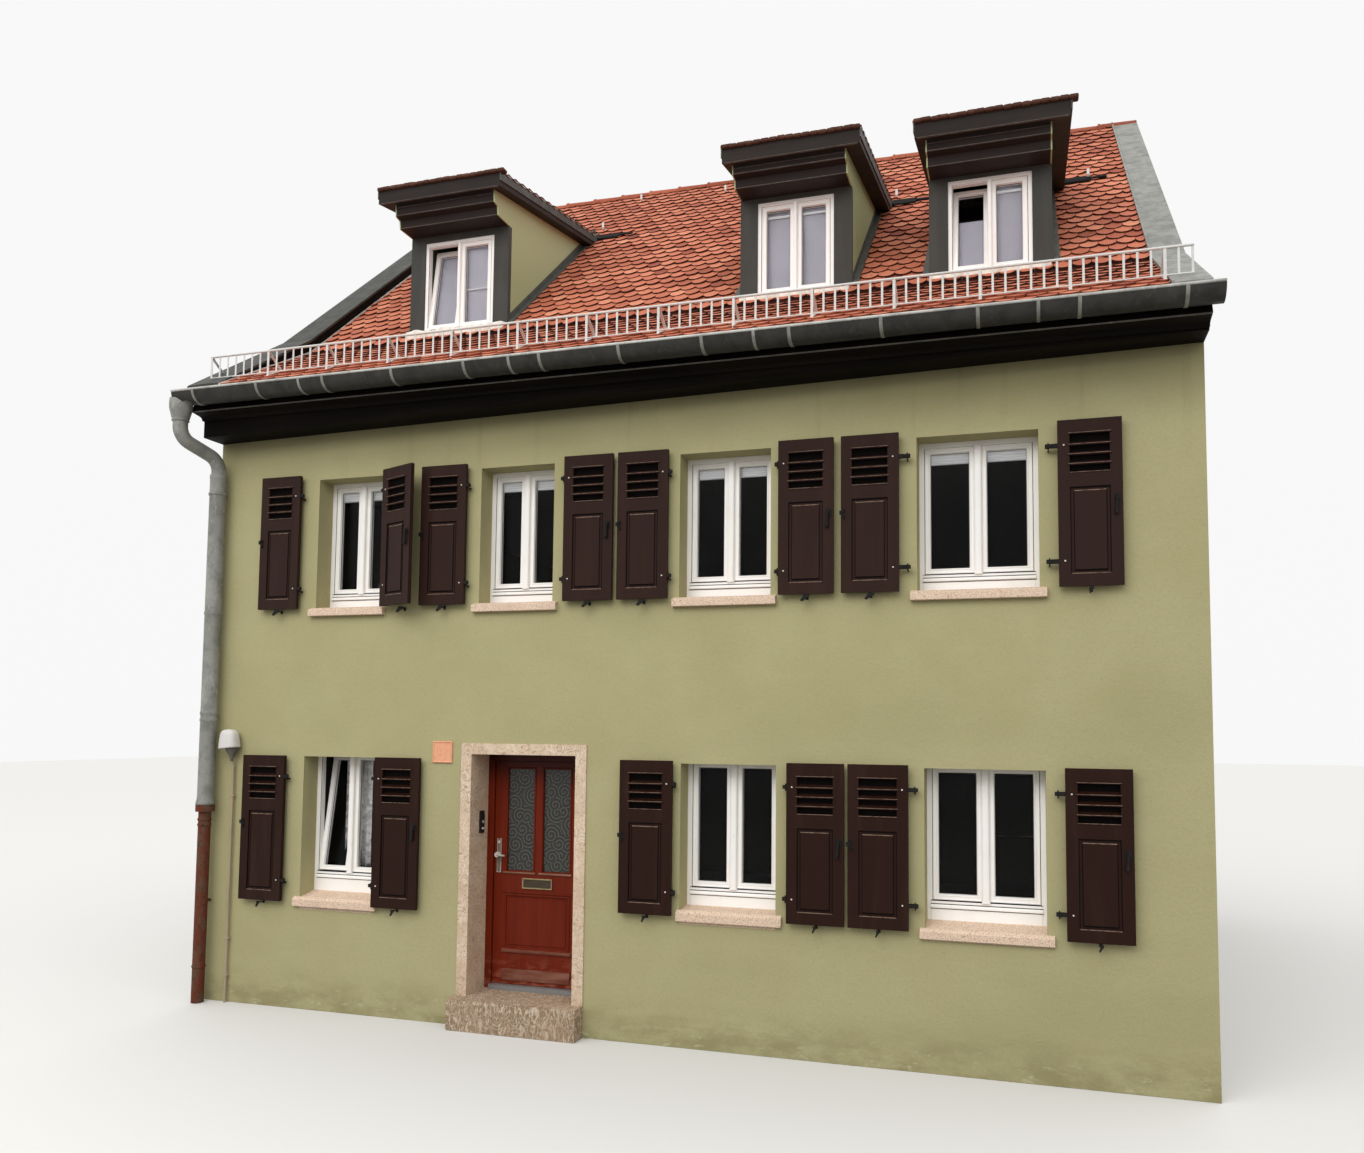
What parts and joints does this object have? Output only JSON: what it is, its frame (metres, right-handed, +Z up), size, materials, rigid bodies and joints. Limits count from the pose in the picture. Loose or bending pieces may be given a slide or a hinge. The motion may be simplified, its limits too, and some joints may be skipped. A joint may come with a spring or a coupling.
{
  "type": "townhouse",
  "caption": "Two-storey green rendered row house with louvred shutters, tiled roof, shed dormers and a stone door surround.",
  "frame": {"origin": "centre of the street front at the lowest ground level, in the plane of the front wall", "axes": "+X to the right along the street front seen from the street, +Y into the house, +Z up"},
  "size_m": [8.886, 10.068, 9.6864],
  "materials": {
    "render": "trowelled mineral render, olive green, matt",
    "stone_sill": "speckled beige granite",
    "limestone": "honed shell limestone, streaked",
    "roof_tile": "clay plain tile, matt",
    "concrete": "screeded floor",
    "dark_timber": "dark stained cornice timber",
    "anthracite": "anthracite painted boards",
    "zinc": "weathered zinc sheet",
    "galvanised": "galvanised steel",
    "white_frame": "white window profile",
    "pane": "clear window glass",
    "shutter_brown": "dark brown painted shutter",
    "iron": "black iron",
    "door_wood": "red-brown varnished hardwood",
    "brass": "dull brass fittings",
    "aluminium": "aluminium threshold",
    "rust_pipe": "red-brown painted iron pipe, worn",
    "grey_pipe": "grey plastic pipe and hood",
    "black_plastic": "black push plate"
  },
  "bodies": {
    "house": {"attic_floor": "concrete", "door_frame": "door_wood", "door_hinge_pins": "iron", "door_surround": "limestone", "door_threshold": "aluminium", "doorbell": "black_plastic", "doorstep": "limestone", "dormer_cheeks": "render", "dormer_cornices": "dark_timber", "dormer_fronts": "anthracite", "dormer_roofs": "roof_tile", "dormer_sills": "stone_sill", "dormer_window_glass": "pane", "dormer_windows": "white_frame", "front_cornice": "dark_timber", "front_downpipe": "zinc", "front_gutter": "zinc", "front_roof": "roof_tile", "front_sills": "stone_sill", "front_wall_left": "render", "front_wall_over_door": "render", "front_wall_right": "render", "front_window_glass": "pane", "front_windows": "white_frame", "ground_floor": "concrete", "gutter_brackets": "zinc", "left_party_wall": "render", "rear_cornice": "dark_timber", "rear_gutter": "zinc", "rear_roof": "roof_tile", "rear_sills": "stone_sill", "rear_wall": "render", "rear_window_glass": "pane", "rear_windows": "white_frame", "ridge_tiles": "roof_tile", "right_party_wall": "render", "shutter_pintles": "iron", "snow_guard": "galvanised", "standpipe": "rust_pipe", "upper_floor": "concrete", "vent_pipe": "grey_pipe"},
    "front_door": {"door_leaf": "door_wood", "door_glass": "pane", "door_fittings": "brass"},
    "shutter_upper_1_left": {"shutter_upper_1_left": "shutter_brown"},
    "shutter_upper_1_right": {"shutter_upper_1_right": "shutter_brown"},
    "shutter_upper_2_left": {"shutter_upper_2_left": "shutter_brown"},
    "shutter_upper_2_right": {"shutter_upper_2_right": "shutter_brown"},
    "shutter_upper_3_left": {"shutter_upper_3_left": "shutter_brown"},
    "shutter_upper_3_right": {"shutter_upper_3_right": "shutter_brown"},
    "shutter_upper_4_left": {"shutter_upper_4_left": "shutter_brown"},
    "shutter_upper_4_right": {"shutter_upper_4_right": "shutter_brown"},
    "shutter_ground_1_left": {"shutter_ground_1_left": "shutter_brown"},
    "shutter_ground_1_right": {"shutter_ground_1_right": "shutter_brown"},
    "shutter_ground_2_left": {"shutter_ground_2_left": "shutter_brown"},
    "shutter_ground_2_right": {"shutter_ground_2_right": "shutter_brown"},
    "shutter_ground_3_left": {"shutter_ground_3_left": "shutter_brown"},
    "shutter_ground_3_right": {"shutter_ground_3_right": "shutter_brown"}
  },
  "joints": [
    {"name": "front_door_hinge", "type": "hinge", "parent": "house", "child": "front_door", "pos_m": [-0.6415, 0.3895, 0], "axis": [0, 0, -1], "range_deg": [0, 90]},
    {"name": "shutter_upper_1_left_hinge", "type": "hinge", "parent": "house", "child": "shutter_upper_1_left", "pos_m": [-3.40075, -0.0575, 0], "axis": [0, 0, 1], "range_deg": [0, 180]},
    {"name": "shutter_upper_1_right_hinge", "type": "hinge", "parent": "house", "child": "shutter_upper_1_right", "pos_m": [-2.51425, -0.0575, 0], "axis": [0, 0, -1], "range_deg": [0, 158]},
    {"name": "shutter_upper_2_left_hinge", "type": "hinge", "parent": "house", "child": "shutter_upper_2_left", "pos_m": [-1.64425, -0.0575, 0], "axis": [0, 0, 1], "range_deg": [0, 180]},
    {"name": "shutter_upper_2_right_hinge", "type": "hinge", "parent": "house", "child": "shutter_upper_2_right", "pos_m": [-0.71075, -0.0575, 0], "axis": [0, 0, -1], "range_deg": [0, 180]},
    {"name": "shutter_upper_3_left_hinge", "type": "hinge", "parent": "house", "child": "shutter_upper_3_left", "pos_m": [0.2585, -0.0575, 0], "axis": [0, 0, 1], "range_deg": [0, 180]},
    {"name": "shutter_upper_3_right_hinge", "type": "hinge", "parent": "house", "child": "shutter_upper_3_right", "pos_m": [1.1875, -0.0575, 0], "axis": [0, 0, -1], "range_deg": [0, 180]},
    {"name": "shutter_upper_4_left_hinge", "type": "hinge", "parent": "house", "child": "shutter_upper_4_left", "pos_m": [2.231, -0.0575, 0], "axis": [0, 0, 1], "range_deg": [0, 180]},
    {"name": "shutter_upper_4_right_hinge", "type": "hinge", "parent": "house", "child": "shutter_upper_4_right", "pos_m": [3.283, -0.0575, 0], "axis": [0, 0, -1], "range_deg": [0, 180]},
    {"name": "shutter_ground_1_left_hinge", "type": "hinge", "parent": "house", "child": "shutter_ground_1_left", "pos_m": [-3.46875, -0.0575, 0], "axis": [0, 0, 1], "range_deg": [0, 180]},
    {"name": "shutter_ground_1_right_hinge", "type": "hinge", "parent": "house", "child": "shutter_ground_1_right", "pos_m": [-2.52225, -0.0575, 0], "axis": [0, 0, -1], "range_deg": [0, 180]},
    {"name": "shutter_ground_2_left_hinge", "type": "hinge", "parent": "house", "child": "shutter_ground_2_left", "pos_m": [0.32225, -0.0575, 0], "axis": [0, 0, 1], "range_deg": [0, 180]},
    {"name": "shutter_ground_2_right_hinge", "type": "hinge", "parent": "house", "child": "shutter_ground_2_right", "pos_m": [1.26475, -0.0575, 0], "axis": [0, 0, -1], "range_deg": [0, 180]},
    {"name": "shutter_ground_3_left_hinge", "type": "hinge", "parent": "house", "child": "shutter_ground_3_left", "pos_m": [2.27825, -0.0575, 0], "axis": [0, 0, 1], "range_deg": [0, 180]},
    {"name": "shutter_ground_3_right_hinge", "type": "hinge", "parent": "house", "child": "shutter_ground_3_right", "pos_m": [3.32075, -0.0575, 0], "axis": [0, 0, -1], "range_deg": [0, 180]}
  ]
}
